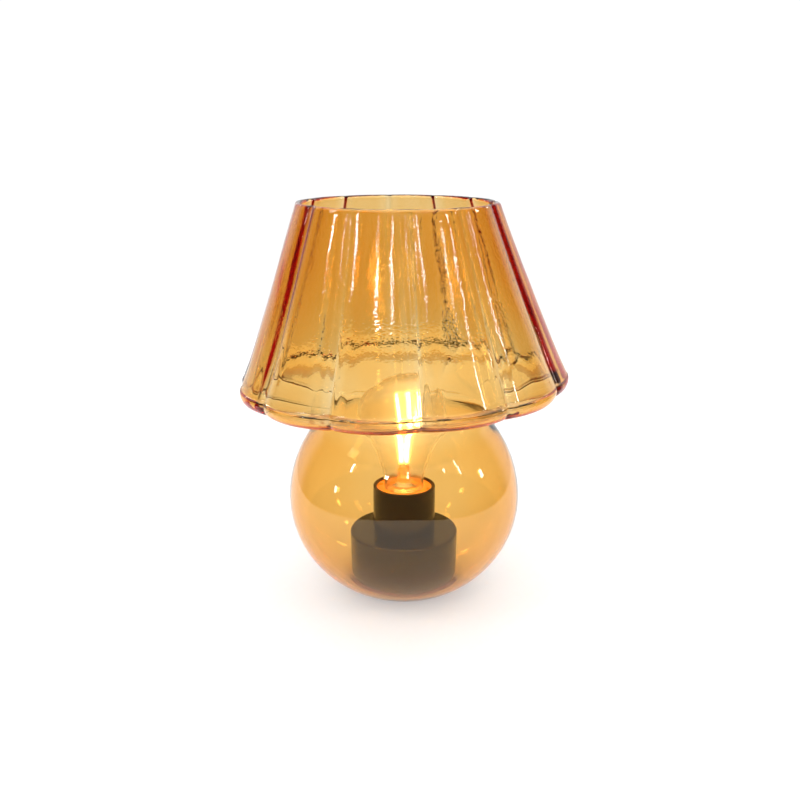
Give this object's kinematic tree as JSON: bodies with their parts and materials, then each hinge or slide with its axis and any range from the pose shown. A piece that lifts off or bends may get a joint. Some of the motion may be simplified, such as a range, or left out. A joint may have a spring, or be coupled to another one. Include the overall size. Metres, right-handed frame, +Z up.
{
  "type": "glass table lantern",
  "caption": "Mushroom-shaped amber glass table lantern with a pleated shade, a round bowl and a lift-out battery lamp unit.",
  "frame": {"origin": "centre of the flat base of the glass bowl, on the surface it stands on", "axes": "+Z up along the lantern's axis, -Y towards the front, +X to the right seen from the front"},
  "size_m": [0.1962, 0.1962, 0.2385],
  "materials": {
    "amber_glass": "clear amber blown glass, lightly rippled",
    "clear_glass": "clear thin glass",
    "case_plastic": "black moulded plastic, satin",
    "inner_plastic": "black moulded plastic, matt",
    "cap_plastic": "amber moulded plastic, satin, lit by the bulb",
    "knob_plastic": "black plastic, ridged",
    "foot_rubber": "matt rubber",
    "contact_steel": "nickel-plated",
    "cell_steel": "plain wrapped can",
    "board_laminate": "green laminate",
    "red_insulation": "red wire insulation",
    "phosphor": "lit yellow phosphor coating"
  },
  "bodies": {
    "glass": {"glass_shade": "amber_glass", "glass_shoulder": "amber_glass", "glass_bowl": "amber_glass"},
    "lamp_unit": {"battery_case": "case_plastic", "foot_ring": "foot_rubber", "battery_tray": "inner_plastic", "contact_springs": "contact_steel", "contact_plates": "contact_steel", "circuit_board": "board_laminate", "timer_chip": "inner_plastic", "timer_crystal": "contact_steel", "board_resistors": "inner_plastic", "board_capacitor": "contact_steel", "switch_body": "contact_steel", "positive_wire": "red_insulation", "negative_wire": "inner_plastic", "lamp_cup": "case_plastic", "bulb_socket": "inner_plastic", "bulb_cap": "cap_plastic", "bulb_envelope": "clear_glass", "bulb_stem": "clear_glass", "filament_wires": "contact_steel", "led_filaments": "phosphor", "board_screws": "contact_steel", "tray_screws": "contact_steel", "cup_screws": "contact_steel", "aaa_cell_1": "cell_steel", "aaa_cell_2": "cell_steel", "aaa_cell_3": "cell_steel"},
    "cover": {"base_cover": "case_plastic"},
    "knob": {"switch_knob": "knob_plastic"}
  },
  "joints": [
    {"name": "unit_lift", "type": "slide", "parent": "glass", "child": "lamp_unit", "axis": [0, 0, 1], "range_m": [0, 0.245]},
    {"name": "cover_twist", "type": "hinge", "parent": "lamp_unit", "child": "cover", "pos_m": [0, 0, 0.0075], "axis": [0, 0, 1], "range_deg": [0, 25]},
    {"name": "switch_slide", "type": "slide", "parent": "lamp_unit", "child": "knob", "axis": [1, 0, 0], "range_m": [-0.0025, 0.0025]}
  ]
}
